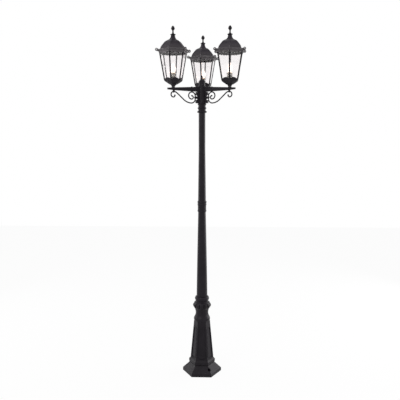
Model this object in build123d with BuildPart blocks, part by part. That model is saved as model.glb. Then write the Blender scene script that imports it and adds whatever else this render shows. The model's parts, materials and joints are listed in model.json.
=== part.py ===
from build123d import *
import os
from math import atan2, cos, degrees, pi, radians, sin, sqrt, tan

# Triple head lamp post in millimetres. The origin is the centre of the plinth's underside, +Z is up,
# and the rear arm points along +Y. Every height is built up from the piece below.

# Where the three lanterns stand, and how far each one is turned on its nipple
arm_azimuths = {"right": 330, "rear": 90, "left": 210}
lantern_turns = {"right": -3, "rear": -9, "left": -10}

# Clearances
slip_gap = 0.15  # between a tube and its socket
thread_gap = 0.05  # between a screw and its hole
seat_gap = 0.1  # between parts that turn or lift away
screw_slack = 0.4  # round a screw that passes through

# Plinth and pedestal
plinth_corner = 134
plinth_rim = 21
plinth_height = 63
plinth_wall = 7
plinth_plate = 8
anchor_circle = 105
anchor_hole = 5.5
anchor_boss = 13
anchor_boss_height = 34
cable_hole = 30
pedestal_height = 377
pedestal_foot_corner = 90.5
pedestal_foot_height = 34
pedestal_foot_step = 5
pedestal_base_corner = 80
pedestal_body_height = 274
pedestal_body_top_corner = 55
pedestal_wall = 7
pedestal_flange = 10
pedestal_plate_hole = 14
shoulder_radius = 56.2
shoulder_curl = 4  # how far its rounded edge draws in, above and below
neck_radius = 43.5
panel_depth = 2.5
panel_margin = 11
panel_length = 192

# Crown that takes the foot of the lower column
crown_height = 96
crown_floor = 12
crown_base_radius = 46
crown_cup_radius = 56.5
crown_neck_radius = 42.5
crown_ring_radius = 48.8
crown_ring_bulge = 4.5
petal_count = 12
petal_notch = 4

# Columns and their collars
lower_column_foot_radius = 37.3
lower_column_land = 0.9  # how much thicker it is inside the crown
lower_column_swell_radius = 34.2
lower_column_top_radius = 25.4
lower_column_length = 616
upper_column_foot_radius = 27.4
upper_column_shaft_radius = 22.3
upper_column_taper_length = 390
upper_column_length = 700
column_wall = 3.5
joiner_length = 120
joiner_wall = 3
collar_below = 24
collar_above = 48
collar_bead = 3.4
top_collar_height = 62
top_collar_wall = 2
top_beads = ((0.11, 9.5), (0.5, 6.8), (0.9, 6.4))  # share of the height, how far each stands out

# Hub
hub_height = 110
hub_wall = 4.5
hub_socket_depth = 53
hub_chamber_radius = 14
hub_ring_radius = 29
hub_ring_height = 36
hub_plate = 5
wire_hole = 4.5
wire_hole_offset = 8.8
lug_reach = 46
lug_width = 14
lug_height = 73
lug_bite = 16.5  # radius of the hollow between its two lobes
lug_boss = 8
tongue_width = 16
tongue_reach = 92
cap_radius = 21
cap_height = 75
cap_wall = 3
terminal_size = (20, 14, 11)

# Arms
arm_reach = 209
arm_tip_reach = 250
arm_level = 91  # height of the arm's root above the foot of the hub
arm_drop = 4.5  # how much lower the middle line is at the lantern
arm_root = (26, 32)
arm_seat = (15, 17)
arm_tip = (9, 11)
arm_edge = 3
arm_boss_radius = 12
arm_boss_stand = 2
arm_bore = 4.5

# Scroll brackets, bent from round bar
scroll_bar = 8
scroll_curl = (11, 16, 19)
scroll_shoulder = 38
scroll_slope = 40
scroll_sweep = 86
scroll_heel = 28
scroll_spiral = (25, 23.5, 22, 12, 9.5)
scroll_crest_out = -3  # how far the curl's crest stands beyond the lantern's axis
scroll_ball = 5.5
pad_radius = 6.5
pad_stand = 0.6  # how far a pad stands proud of the bar on each side

# Fasteners
bolt_radius = 4
bolt_head_radius = 6.5
bolt_head_height = 8
plinth_bolt_circle = 45
crown_bolt_circle = 24
grub_radius = 3
grub_head = 2.5
arm_screw_places = (46, 76)
arm_screw_radius = 2.5
arm_screw_head = 4.5
arm_screw_head_height = 4
scroll_screw_radius = 2
scroll_screw_head = 3.6
scroll_screw_head_height = 3

# Nipple and its nuts
nipple_radius = 5
nipple_bore = 3.5
nipple_in_arm = 15
nut_corner = 11
nut_height = 5

# Lantern
cup_height = 35
cup_neck_radius = 13
cup_wall = 3.5
cage_corner = 61
cage_top_corner = 93
cage_height = 177
cage_wall = 7
cage_floor = 3
cage_floor_hole = 36
rib_width = 5.5  # on each side of a corner
sill_height = 6
sill_arch = 11
head_band = 5
groove_depth = 1.6
groove_edge = 3.2
pane_thickness = 2.5
pane_gap = 0.2
floor_plate_thickness = 2
floor_plate_gap = 1.2

# Gallery, the flared rim under the roof
gallery_height = 20
gallery_base = 4
gallery_corner = 95.5
upright_corner = 84.5
upright_wall = 3
crest_slope = 55  # degrees from upright
crest_length = 17
crest_thickness = 2.2
crest_lobes = 4
crest_lobe_rise = 3.5
crest_hole = 3.2
ear_reach = 108
ear_radius = 9.5
ear_hole = 4.4
ear_thickness = 4
upright_hole = 3.2
upright_holes = 4
fringe_thickness = 1.6
fringe_lobe_depths = (7, 8.5, 10, 8.5, 7)
fringe_root_depth = 5.5

# Roof and finial
roof_height = 82
roof_wall = 2.5
roof_corner = 82
roof_bead = 2.5
lip_depth = 8
lip_thickness = 2
lip_gap = 0.4
roof_profile = (  # corner radius and height of the roof's curve, from its foot to its neck
    (82, 0),
    (80.5, 9),
    (76.5, 16),
    (65, 30),
    (51, 45.5),
    (39, 52),
    (27.5, 57.5),
    (19, 66),
    (15, 74),
    (14, 82),
)
cup_profile = ((13, 3), (20.5, 10), (31.5, 16.2), (43, 23.5), (53, 29.8), (59.5, 35))
finial_height = 64
finial_stud_radius = 4
finial_stud_length = 11
roof_screw_radius = 2
roof_screw_head = 4.2
roof_screw_head_height = 4.5

# Lampholder and bulb
holder_height = 37
holder_radius = 19
holder_base_radius = 15
holder_floor = 12
holder_thread = 8
holder_bore = 14
shell_wall = 0.6
shell_gap = 0.1
cap_shell_radius = 13.2
cap_shell_length = 26
bulb_radius = 17.5
bulb_length = 68
bulb_wall = 1

# Worked out from the values above
hex_share = cos(pi / 6)  # apothem of a hexagon for a corner radius of one
plinth_top = plinth_height
pedestal_top = plinth_top + pedestal_height
crown_top = pedestal_top + crown_height
column_foot = pedestal_top + crown_floor
column_joint = crown_top + lower_column_length
hub_foot = column_joint + upper_column_length
hub_top = hub_foot + hub_height
column_head = hub_foot + hub_socket_depth
socket_radius = upper_column_shaft_radius + slip_gap
joiner_radius = upper_column_foot_radius - column_wall - 1.4
arm_height = hub_foot + arm_level
seat_height = arm_height - arm_drop
boss_top = seat_height + arm_seat[1] / 2 + arm_boss_stand
boss_foot = seat_height - arm_seat[1] / 2 - arm_boss_stand * 2
cup_foot = boss_top + nut_height + seat_gap
cage_foot = cup_foot + cup_height
cage_top = cage_foot + cage_height
roof_foot = cage_top + gallery_height
finial_foot = roof_foot + roof_height
inner_nut_foot = cage_foot + cage_floor + floor_plate_thickness + seat_gap
holder_foot = inner_nut_foot + nut_height
bulb_foot = holder_foot + holder_floor + 1.5
cage_lean = degrees(atan2((cage_top_corner - cage_corner) * hex_share, cage_height))
cage_slant = sqrt(((cage_top_corner - cage_corner) * hex_share) ** 2 + cage_height**2)
lug_middle = hub_foot + lug_height / 2
pad_length = scroll_bar + 2 * pad_stand
hub_radius = socket_radius + hub_wall
screw_hole = thread_gap + arm_screw_radius

os.makedirs("parts", exist_ok=True)


def upright(azimuth):
    # the vertical plane through the axis, x pointing to the azimuth and y up
    a = radians(azimuth)
    return Plane(origin=(0, 0, 0), x_dir=(cos(a), sin(a), 0), z_dir=(sin(a), -cos(a), 0))


def radial(azimuth, reach, height):
    # the upright plane that faces away from the axis at this reach and height
    a = radians(azimuth)
    return Plane(
        origin=(reach * cos(a), reach * sin(a), height),
        x_dir=(-sin(a), cos(a), 0),
        z_dir=(cos(a), sin(a), 0),
    )


def sloping(azimuth, reach, height, lean):
    # a plane that faces away from the axis and leans outwards by lean degrees as it rises
    a, tilt = radians(azimuth), radians(lean)
    return Plane(
        origin=(reach * cos(a), reach * sin(a), height),
        x_dir=(-sin(a), cos(a), 0),
        z_dir=(cos(a) * cos(tilt), sin(a) * cos(tilt), -sin(tilt)),
    )


def lathe(outline):
    # a piece turned about the axis from its closed outline of (radius, height) points
    with BuildPart() as turned:
        with BuildSketch(Plane.XZ):
            with BuildLine():
                Polyline(*outline, close=True)
            make_face()
        revolve(axis=Axis.Z)
    return turned.part


def vault(curve):
    # a six-sided body whose faces follow one curve of (apothem, height) points
    with BuildPart() as body:
        for azimuth in (30, 90, 150):
            with BuildSketch(upright(azimuth)):
                with BuildLine():
                    Line((0, curve[0][1]), curve[0])
                    Spline(*curve)
                    Polyline(curve[-1], (0, curve[-1][1]), (0, curve[0][1]))
                make_face()
                mirror(about=Plane.YZ)
            extrude(
                amount=3 * curve[0][0] + 3 * curve[-1][0],
                both=True,
                mode=Mode.ADD if azimuth == 30 else Mode.INTERSECT,
            )
    return body.part


def pin(plane, radius, length, head_radius=0, head_height=0):
    # a screw that runs from the plane against its normal, with its head on the plane's outer side
    with BuildPart() as screw:
        with BuildSketch(plane):
            Circle(radius)
        extrude(amount=-length)
        if head_radius:
            with BuildSketch(plane):
                Circle(head_radius)
            extrude(amount=head_height)
    return screw.part


# ---------------------------------------------------------------- plinth and pedestal


def make_plinth():
    # hollow hexagonal casting: a low rim, a tent-shaped top and three anchor bosses
    inner_corner = plinth_corner - plinth_wall / hex_share
    crest_corner = pedestal_foot_corner - 3
    inner_crest = crest_corner - plinth_wall / hex_share
    with BuildPart() as plinth:
        with BuildSketch(Plane.XY):
            RegularPolygon(plinth_corner, 6)
        extrude(amount=plinth_rim)
        for height, corner in ((plinth_rim, plinth_corner), (plinth_top, crest_corner)):
            with BuildSketch(Plane.XY.offset(height)):
                RegularPolygon(corner, 6)
        loft(ruled=True)
        with BuildSketch(Plane.XY):
            RegularPolygon(inner_corner, 6)
        extrude(amount=plinth_rim - plinth_wall / 2, mode=Mode.SUBTRACT)
        inner_top = plinth_top - plinth_plate
        for height, corner in ((plinth_rim - plinth_wall / 2, inner_corner), (inner_top, inner_crest)):
            with BuildSketch(Plane.XY.offset(height)):
                RegularPolygon(corner, 6)
        loft(ruled=True, mode=Mode.SUBTRACT)
        with BuildSketch(Plane.XY):
            with PolarLocations(anchor_circle, 3, start_angle=60):
                Circle(anchor_boss)
        extrude(amount=anchor_boss_height)
        with BuildSketch(Plane.XY.offset(anchor_boss_height)):
            with PolarLocations(anchor_circle, 3, start_angle=60):
                Circle(anchor_boss - 2)
        extrude(amount=plinth_height, mode=Mode.SUBTRACT)
        with BuildSketch(Plane.XY):
            with PolarLocations(anchor_circle, 3, start_angle=60):
                Circle(anchor_hole)
            Circle(cable_hole)
            with PolarLocations(plinth_bolt_circle, 3, start_angle=90):
                Circle(bolt_radius + screw_slack)
        extrude(amount=plinth_height, mode=Mode.SUBTRACT)
    plinth.part.label = "base_plinth"
    export_step(plinth.part, "parts/base_plinth.step")


def make_pedestal():
    # hollow six-sided casting with recessed panels, then a round shoulder and neck
    body_foot = plinth_top + pedestal_foot_height
    body_top = body_foot + pedestal_body_height - pedestal_foot_step
    shoulder_height = body_top + 0.18 * (pedestal_top - body_top)
    neck_height = pedestal_top - 0.18 * (pedestal_top - body_top)
    plate_foot = pedestal_top - pedestal_flange
    foot_levels = (
        (plinth_top, pedestal_foot_corner - pedestal_foot_step),
        (plinth_top + pedestal_foot_step, pedestal_foot_corner),
        (body_foot - 2 * pedestal_foot_step, pedestal_foot_corner),
        (body_foot, pedestal_base_corner + 1),
    )
    body_lean = degrees(
        atan2((pedestal_body_top_corner - pedestal_base_corner) * hex_share, body_top - body_foot)
    )
    side_foot = pedestal_base_corner / 2 - panel_margin
    side_slope = (pedestal_base_corner - pedestal_body_top_corner) / (2 * (body_top - body_foot))
    inner_foot = (pedestal_base_corner * hex_share) - pedestal_wall
    inner_top = (pedestal_body_top_corner * hex_share) - pedestal_wall
    with BuildPart() as pedestal:
        for lower, upper in zip(foot_levels, foot_levels[1:]):
            for height, corner in (lower, upper):
                with BuildSketch(Plane.XY.offset(height)):
                    RegularPolygon(corner, 6)
            loft(ruled=True)
        for height, corner in ((body_foot, pedestal_base_corner), (body_top, pedestal_body_top_corner)):
            with BuildSketch(Plane.XY.offset(height)):
                RegularPolygon(corner, 6)
        loft(ruled=True)
        panel_foot = 18
        for azimuth in range(30, 390, 60):
            face = sloping(azimuth, pedestal_base_corner * hex_share, body_foot, body_lean)
            low, high = panel_foot, panel_foot + panel_length
            low_half, high_half = side_foot - side_slope * low, side_foot - side_slope * high
            with BuildSketch(face.offset(panel_depth)):
                with BuildLine():
                    Line((low_half, low), (high_half, high))
                    ThreePointArc((high_half, high), (0, high + high_half * 0.8), (-high_half, high))
                    Line((-high_half, high), (-low_half, low))
                    ThreePointArc((-low_half, low), (0, low - low_half * 0.3), (low_half, low))
                make_face()
            extrude(amount=-2 * panel_depth, mode=Mode.SUBTRACT)
        with BuildSketch(Plane.XZ):
            with BuildLine():
                Polyline((0, body_top), (shoulder_radius - shoulder_curl, body_top))
                ThreePointArc(
                    (shoulder_radius - shoulder_curl, body_top),
                    (shoulder_radius, shoulder_height),
                    (shoulder_radius - shoulder_curl, 2 * shoulder_height - body_top),
                )
                Spline(
                    (shoulder_radius - shoulder_curl, 2 * shoulder_height - body_top),
                    (neck_radius, neck_height),
                    (crown_base_radius, pedestal_top),
                )
                Polyline((crown_base_radius, pedestal_top), (0, pedestal_top), (0, body_top))
            make_face()
        revolve(axis=Axis.Z)
        cavity = lathe(
            (
                (0, plinth_top + pedestal_flange),
                (inner_foot, plinth_top + pedestal_flange),
                (inner_foot, body_foot),
                (inner_top, body_top),
                (neck_radius - pedestal_wall, neck_height - pedestal_wall),
                (neck_radius - pedestal_wall, plate_foot),
                (0, plate_foot),
            )
        )
        add(cavity, mode=Mode.SUBTRACT)
        with BuildSketch(Plane.XY.offset(plinth_top)):
            Circle(cable_hole)
            with PolarLocations(plinth_bolt_circle, 3, start_angle=90):
                Circle(bolt_radius + thread_gap)
        extrude(amount=pedestal_flange, mode=Mode.SUBTRACT)
        with BuildSketch(Plane.XY.offset(plate_foot)):
            Circle(pedestal_plate_hole)
            with PolarLocations(crown_bolt_circle, 3, start_angle=90):
                Circle(bolt_radius + screw_slack)
        extrude(amount=pedestal_flange, mode=Mode.SUBTRACT)
    pedestal.part.label = "pedestal"
    export_step(pedestal.part, "parts/pedestal.step")


def make_crown():
    # flared cup with petals round its rim, a neck and a ring, bored for the lower column
    cup_top = pedestal_top + 0.55 * crown_height
    ring_foot = crown_top - 0.26 * crown_height
    with BuildPart() as crown:
        with BuildSketch(Plane.XZ):
            with BuildLine():
                Line((0, pedestal_top), (crown_base_radius, pedestal_top))
                Spline(
                    (crown_base_radius, pedestal_top),
                    (crown_base_radius + 2.5, pedestal_top + 9),
                    (crown_cup_radius, pedestal_top + 23),
                    (crown_cup_radius, cup_top - 5),
                )
                Polyline(
                    (crown_cup_radius, cup_top - 5),
                    (crown_cup_radius - 4, cup_top + 3),
                    (crown_neck_radius + 4, cup_top + 7),
                    (crown_neck_radius, cup_top + 10),
                    (crown_neck_radius, crown_top - 29),
                    (crown_ring_radius - crown_ring_bulge, ring_foot),
                )
                ThreePointArc(
                    (crown_ring_radius - crown_ring_bulge, ring_foot),
                    (crown_ring_radius, (ring_foot + crown_top) / 2),
                    (crown_ring_radius - crown_ring_bulge, crown_top),
                )
                Polyline(
                    (crown_ring_radius - crown_ring_bulge, crown_top),
                    (0, crown_top),
                    (0, pedestal_top),
                )
            make_face()
        revolve(axis=Axis.Z)
        with BuildSketch(Plane.XY.offset(pedestal_top + 12)):
            with PolarLocations(crown_cup_radius + 1, petal_count, start_angle=180 / petal_count):
                Circle(petal_notch)
        extrude(amount=cup_top, mode=Mode.SUBTRACT)
        with BuildSketch(Plane.XY.offset(column_foot)):
            Circle(lower_column_foot_radius + lower_column_land + slip_gap)
        extrude(amount=crown_height, mode=Mode.SUBTRACT)
        with BuildSketch(Plane.XY.offset(pedestal_top)):
            Circle(pedestal_plate_hole)
            with PolarLocations(crown_bolt_circle, 3, start_angle=90):
                Circle(bolt_radius + thread_gap)
        extrude(amount=crown_floor, mode=Mode.SUBTRACT)
        add(pin(radial(270, crown_cup_radius + 5, crown_screw_height), grub_radius + thread_gap,
                crown_cup_radius), mode=Mode.SUBTRACT)
    crown.part.label = "pedestal_crown"
    export_step(crown.part, "parts/pedestal_crown.step")


crown_screw_height = pedestal_top + crown_height / 3

# ---------------------------------------------------------------- columns and collars


def lower_radius(height):
    # radius of the lower column at a height, for what has to meet its surface
    share = (height - crown_top) / lower_column_length
    return lower_column_foot_radius + (lower_column_top_radius - lower_column_foot_radius) * share


def upper_radius(height):
    # radius of the upper column at a height
    share = min(1, (height - column_joint) / upper_column_taper_length)
    return upper_column_foot_radius + (upper_column_shaft_radius - upper_column_foot_radius) * share


def make_lower_column():
    # long tube with a slight swell, plain where it stands in the crown, with a land for the joiner
    foot_radius = lower_column_foot_radius + lower_column_land
    swell_height = crown_top + 0.3 * lower_column_length
    land_foot = column_joint - joiner_length / 2 - 6
    land_radius = joiner_radius + slip_gap
    with BuildPart() as column:
        with BuildSketch(Plane.XZ):
            with BuildLine():
                Polyline((0, column_foot), (foot_radius, column_foot), (foot_radius, crown_top - 6),
                         (lower_column_foot_radius, crown_top))
                Spline(
                    (lower_column_foot_radius, crown_top),
                    (lower_column_swell_radius, swell_height),
                    (lower_column_top_radius, column_joint),
                )
                Polyline((lower_column_top_radius, column_joint), (0, column_joint), (0, column_foot))
            make_face()
        revolve(axis=Axis.Z)
        bore = lathe(
            (
                (0, column_foot),
                (lower_column_foot_radius - column_wall, column_foot),
                (lower_column_foot_radius - column_wall, crown_top),
                (lower_column_swell_radius - column_wall, swell_height),
                (lower_radius(land_foot) - column_wall, land_foot),
                (land_radius, land_foot),
                (land_radius, column_joint),
                (0, column_joint),
            )
        )
        add(bore, mode=Mode.SUBTRACT)
    column.part.label = "lower_column"
    export_step(column.part, "parts/lower_column.step")


def make_upper_column():
    # slim tube, tapered below and straight above, with the other land for the joiner
    taper_top = column_joint + upper_column_taper_length
    land_top = column_joint + joiner_length / 2 + 6
    land_radius = joiner_radius + slip_gap
    shaft_bore = upper_column_shaft_radius - column_wall
    outline = (
        (land_radius, column_joint),
        (upper_column_foot_radius, column_joint),
        (upper_column_shaft_radius, taper_top),
        (upper_column_shaft_radius, column_head),
        (shaft_bore, column_head),
        (shaft_bore, taper_top),
        (min(land_radius - 0.2, upper_radius(land_top) - column_wall), land_top),
        (land_radius, land_top),
    )
    with BuildPart() as column:
        with BuildSketch(Plane.XZ):
            with BuildLine():
                Polyline(*outline, close=True)
            make_face()
        revolve(axis=Axis.Z)
    column.part.label = "upper_column"
    export_step(column.part, "parts/upper_column.step")


def make_joiner():
    # the tube inside the joint of the two columns
    with BuildPart() as joiner:
        with BuildSketch(Plane.XY.offset(column_joint - joiner_length / 2)):
            Circle(joiner_radius)
            Circle(joiner_radius - joiner_wall, mode=Mode.SUBTRACT)
        extrude(amount=joiner_length)
    joiner.part.label = "column_joiner"
    export_step(joiner.part, "parts/column_joiner.step")


def make_mid_collar():
    # ring over the joint of the columns: a bead at each end and a waist between them
    foot, top = column_joint - collar_below, column_joint + collar_above
    lower_bore = lower_radius(foot) + slip_gap
    upper_bore = upper_column_foot_radius + slip_gap
    bead = upper_column_foot_radius + collar_bead
    waist = upper_column_foot_radius + 1
    with BuildPart() as collar:
        with BuildSketch(Plane.XZ):
            with BuildLine():
                Line((lower_bore, foot), (bead - 2, foot))
                ThreePointArc((bead - 2, foot), (bead, foot + 5), (bead - 2, foot + 10))
                Spline((bead - 2, foot + 10), (waist, foot + 21), (bead - 2, top - 28))
                ThreePointArc((bead - 2, top - 28), (bead, top - 23), (bead - 1.5, top - 18))
                Line((bead - 1.5, top - 18), (bead - 1.5, top - 12))
                ThreePointArc((bead - 1.5, top - 12), (bead + 0.4, top - 6), (bead - 2, top))
                Polyline((bead - 2, top), (upper_bore, top), (upper_bore, column_joint),
                         (lower_bore, column_joint), (lower_bore, foot))
            make_face()
        revolve(axis=Axis.Z)
        add(pin(radial(330, bead + 5, column_joint - 4), grub_radius + thread_gap, bead),
            mode=Mode.SUBTRACT)
    collar.part.label = "mid_collar"
    export_step(collar.part, "parts/mid_collar.step")


def make_top_collar():
    # beaded sleeve at the head of the upper column
    foot = hub_foot - top_collar_height
    outer = socket_radius + top_collar_wall
    with BuildPart() as collar:
        with BuildSketch(Plane.XY.offset(foot)):
            Circle(outer)
        extrude(amount=top_collar_height)
        for share, stand in top_beads:
            middle = foot + share * top_collar_height
            half = min(6.5, top_collar_height - share * top_collar_height, share * top_collar_height)
            with BuildSketch(Plane.XZ):
                with BuildLine():
                    Polyline((outer, middle + half), (0, middle + half), (0, middle - half),
                             (outer, middle - half))
                    ThreePointArc((outer, middle - half), (socket_radius + stand, middle),
                                  (outer, middle + half))
                make_face()
            revolve(axis=Axis.Z)
        with BuildSketch(Plane.XY.offset(foot)):
            Circle(socket_radius)
        extrude(amount=top_collar_height, mode=Mode.SUBTRACT)
    collar.part.label = "top_collar"
    export_step(collar.part, "parts/top_collar.step")


# ---------------------------------------------------------------- hub


def make_hub():
    # socket over the column, three lugs for the scrolls and three tongues inside the arms
    ring_foot = hub_top - hub_ring_height
    with BuildPart() as hub:
        with BuildSketch(Plane.XY.offset(hub_foot)):
            Circle(hub_radius)
        extrude(amount=hub_height)
        with BuildSketch(Plane.XY.offset(ring_foot)):
            Circle(hub_ring_radius)
        extrude(amount=hub_ring_height)
        chamfer(hub.edges().filter_by(GeomType.CIRCLE).group_by(Axis.Z)[-1], 2)
        for azimuth in arm_azimuths.values():
            with BuildSketch(upright(azimuth)):
                with Locations((lug_reach / 2, lug_middle)):
                    RectangleRounded(lug_reach, lug_height, 5)
                with Locations((lug_reach, lug_middle)):
                    Circle(lug_bite, mode=Mode.SUBTRACT)
            extrude(amount=lug_width / 2, both=True)
            add(pin(radial(azimuth, lug_reach, lug_middle), lug_boss, lug_reach - hub_radius / 2))
            with BuildSketch(radial(azimuth, 0, arm_height)):
                Rectangle(tongue_width, tongue_width)
            extrude(amount=tongue_reach)
        with BuildSketch(Plane.XY.offset(hub_foot)):
            Circle(socket_radius)
        extrude(amount=hub_socket_depth, mode=Mode.SUBTRACT)
        with BuildSketch(Plane.XY.offset(column_head)):
            Circle(hub_chamber_radius)
        extrude(amount=hub_top - hub_plate - column_head, mode=Mode.SUBTRACT)
        with BuildSketch(Plane.XY.offset(hub_top - hub_plate)):
            with Locations((-wire_hole_offset, 0)):
                Circle(wire_hole)
        extrude(amount=hub_plate, mode=Mode.SUBTRACT)
        with BuildSketch(Plane.XY.offset(hub_top)):
            Circle(cap_radius - cap_wall - slip_gap)
            Circle(cap_radius - 2 * cap_wall, mode=Mode.SUBTRACT)
        extrude(amount=cap_wall)
        for azimuth in arm_azimuths.values():
            tunnel = radial(azimuth, tongue_reach, arm_height)
            add(pin(tunnel, arm_bore, tongue_reach - 5), mode=Mode.SUBTRACT)
            add(pin(radial(azimuth, lug_reach + 1, lug_middle), scroll_screw_radius + thread_gap, 15),
                mode=Mode.SUBTRACT)
            for place in arm_screw_places:
                hole = upright(azimuth).from_local_coords((place, arm_height + tongue_width / 2, 0))
                add(pin(Plane(origin=hole, z_dir=(0, 0, 1)), screw_hole, 3.2), mode=Mode.SUBTRACT)
        add(pin(radial(270, hub_radius + 5, hub_foot + 14), grub_radius + thread_gap, hub_radius),
            mode=Mode.SUBTRACT)
    hub.part.label = "hub"
    export_step(hub.part, "parts/hub.step")


def make_hub_cap():
    # cover of the wiring chamber, with its knob
    foot = hub_top
    roof = foot + 0.42 * cap_height
    top = foot + cap_height
    with BuildPart() as cap:
        with BuildSketch(Plane.XZ):
            with BuildLine():
                Polyline((0, foot), (cap_radius, foot), (cap_radius, roof - 4), (cap_radius + 1.5, roof))
                Spline((cap_radius + 1.5, roof), (cap_radius - 5, roof + 9), (4, roof + 18))
                Line((4, roof + 18), (3.2, roof + 22))
                Spline((3.2, roof + 22), (5.6, roof + 28), (3.4, roof + 36), (0, top))
                Line((0, top), (0, foot))
            make_face()
        revolve(axis=Axis.Z)
        with BuildSketch(Plane.XY.offset(foot)):
            Circle(cap_radius - cap_wall)
        extrude(amount=roof - foot - 1, mode=Mode.SUBTRACT)
    cap.part.label = "hub_cap"
    export_step(cap.part, "parts/hub_cap.step")


def make_terminal_block():
    # three-way block beside the wire hole, with its clamping screws sunk in its top
    length, width, height = terminal_size
    with BuildPart() as block:
        with BuildSketch(Plane.XY.offset(hub_top)):
            with Locations((wire_hole_offset / 2, 0)):
                Rectangle(length * 0.8, width)
        extrude(amount=height)
        with BuildSketch(Plane.XY.offset(hub_top + height)):
            with Locations((wire_hole_offset / 2, 0)):
                with GridLocations(length * 0.25, width * 0.5, 3, 2):
                    Circle(1.6)
        extrude(amount=-height / 3, mode=Mode.SUBTRACT)
    block.part.label = "terminal_block"
    export_step(block.part, "parts/terminal_block.step")


# ---------------------------------------------------------------- arms and scrolls, made along +X


def arm_floor(reach):
    # height of the arm's underside at a reach between its root and the lantern
    share = (reach - hub_ring_radius) / (arm_reach - hub_ring_radius)
    middle = arm_height - arm_drop * share
    return middle - (arm_root[1] + (arm_seat[1] - arm_root[1]) * share) / 2


def make_arm():
    # hollow tapered bar with a pocket for the hub's tongue, a boss for the nipple and a blunt tip
    pocket = tongue_width + 2 * slip_gap
    sections = (
        (hub_radius - 2, arm_height, arm_root),
        (arm_reach, seat_height, arm_seat),
        (arm_tip_reach, seat_height, arm_tip),
    )
    with BuildPart() as arm:
        for inner, outer in zip(sections, sections[1:]):
            for reach, height, (width, depth) in (inner, outer):
                with BuildSketch(radial(0, reach, height)):
                    RectangleRounded(width, depth, min(arm_edge, width / 3))
            loft(ruled=True)
        with BuildSketch(Plane.XY.offset(boss_foot)):
            with Locations((arm_reach + scroll_crest_out, 0)):
                Circle(pad_radius + 1)
        extrude(amount=seat_height - boss_foot)
        with BuildSketch(Plane.XY.offset(seat_height)):
            with Locations((arm_reach, 0)):
                Circle(arm_boss_radius)
        extrude(amount=boss_top - seat_height)
        with BuildSketch(Plane.XY.offset(arm_height - arm_root[1])):
            Circle(hub_ring_radius + slip_gap)
        extrude(amount=2 * arm_root[1], mode=Mode.SUBTRACT)
        with BuildSketch(radial(0, 0, arm_height)):
            Rectangle(pocket, pocket)
        extrude(amount=tongue_reach + slip_gap, mode=Mode.SUBTRACT)
        bore_start = radial(0, arm_reach, seat_height)
        add(pin(bore_start, arm_bore, arm_reach - tongue_reach), mode=Mode.SUBTRACT)
        with Locations((arm_reach, 0, boss_top - nipple_in_arm)):
            Cylinder(nipple_radius + thread_gap, nipple_in_arm + 1,
                     align=(Align.CENTER, Align.CENTER, Align.MIN), mode=Mode.SUBTRACT)
        with Locations((arm_reach + scroll_crest_out, 0, boss_foot)):
            Cylinder(scroll_screw_radius + thread_gap, 5,
                     align=(Align.CENTER, Align.CENTER, Align.MIN), mode=Mode.SUBTRACT)
        for place in arm_screw_places:
            with Locations((place, 0, arm_height + tongue_width / 2)):
                Cylinder(arm_screw_radius + screw_slack, arm_root[1],
                         align=(Align.CENTER, Align.CENTER, Align.MIN), mode=Mode.SUBTRACT)
            with Locations((place, 0, arm_screw_seat(place))):
                Cylinder(arm_screw_head + screw_slack, arm_root[1],
                         align=(Align.CENTER, Align.CENTER, Align.MIN), mode=Mode.SUBTRACT)
    return arm.part


def arm_screw_seat(place):
    # height of the spot face that a screw head sits on, just below the arm's top
    share = (place - hub_ring_radius) / (arm_reach - hub_ring_radius)
    top = arm_height - arm_drop * share + (arm_root[1] + (arm_seat[1] - arm_root[1]) * share) / 2
    return top - 1.2


def make_scroll():
    # one bar: the small curl, the long slope, the heel against the hub's lug and the inner spiral
    curl_end, curl_foot, curl_back = scroll_curl
    crest = (arm_reach + scroll_crest_out, boss_foot - scroll_bar / 2 - pad_stand)
    lean = radians(scroll_slope)
    heel_reach = lug_reach + scroll_bar / 2 + pad_stand
    run = (crest[0] - heel_reach - scroll_heel - (scroll_shoulder + scroll_sweep) * sin(lean)) / cos(lean)
    drop = (scroll_shoulder + scroll_sweep) * (1 - cos(lean)) + run * sin(lean)
    spiral_top = arm_floor(heel_reach + scroll_spiral[0]) - scroll_bar / 2 - 0.3
    rise = spiral_top - (crest[1] - drop) - scroll_heel - scroll_spiral[0]
    start = (crest[0] - (curl_end + curl_foot - curl_back), crest[1] - (curl_foot + curl_back - curl_end))
    with BuildPart() as scroll:
        with BuildLine(Plane.XZ):
            bend = JernArc(start, (0, -1), curl_end, 90)
            mouth = Plane(origin=bend @ 0, z_dir=bend % 0)
            for radius, turn in ((curl_foot, 90), (curl_back, 90), (scroll_shoulder, scroll_slope)):
                bend = JernArc(bend @ 1, bend % 1, radius, turn)
            slope = Line(bend @ 1, (bend @ 1) + (bend % 1) * run)
            bend = JernArc(slope @ 1, slope % 1, scroll_sweep, -scroll_slope)
            bend = JernArc(bend @ 1, bend % 1, scroll_heel, -90)
            stem = Line(bend @ 1, (bend @ 1) + (bend % 1) * rise)
            bend = stem
            for radius in scroll_spiral:
                bend = JernArc(bend @ 1, bend % 1, radius, -90)
        with BuildSketch(mouth):
            Circle(scroll_bar / 2)
        sweep()
        with Locations(mouth.origin, bend @ 1):
            Sphere(scroll_ball)
        heel_pad = radial(0, lug_reach + pad_length, lug_middle)
        add(pin(heel_pad, pad_radius, pad_length))
        with Locations((crest[0], 0, boss_foot)):
            Cylinder(pad_radius, pad_length, align=(Align.CENTER, Align.CENTER, Align.MAX))
        add(pin(heel_pad, scroll_screw_radius + screw_slack, 2 * scroll_bar), mode=Mode.SUBTRACT)
        with Locations((crest[0], 0, boss_foot)):
            Cylinder(scroll_screw_radius + screw_slack, 4 * scroll_bar, mode=Mode.SUBTRACT)
    return scroll.part


# ---------------------------------------------------------------- lantern, made about the axis


def lantern_face(azimuth, depth=0):
    # the plane of one side of the cage, depth inside its outer surface, y running up the slope
    return sloping(azimuth, cage_corner * hex_share, cage_foot, cage_lean).offset(-depth)


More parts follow.
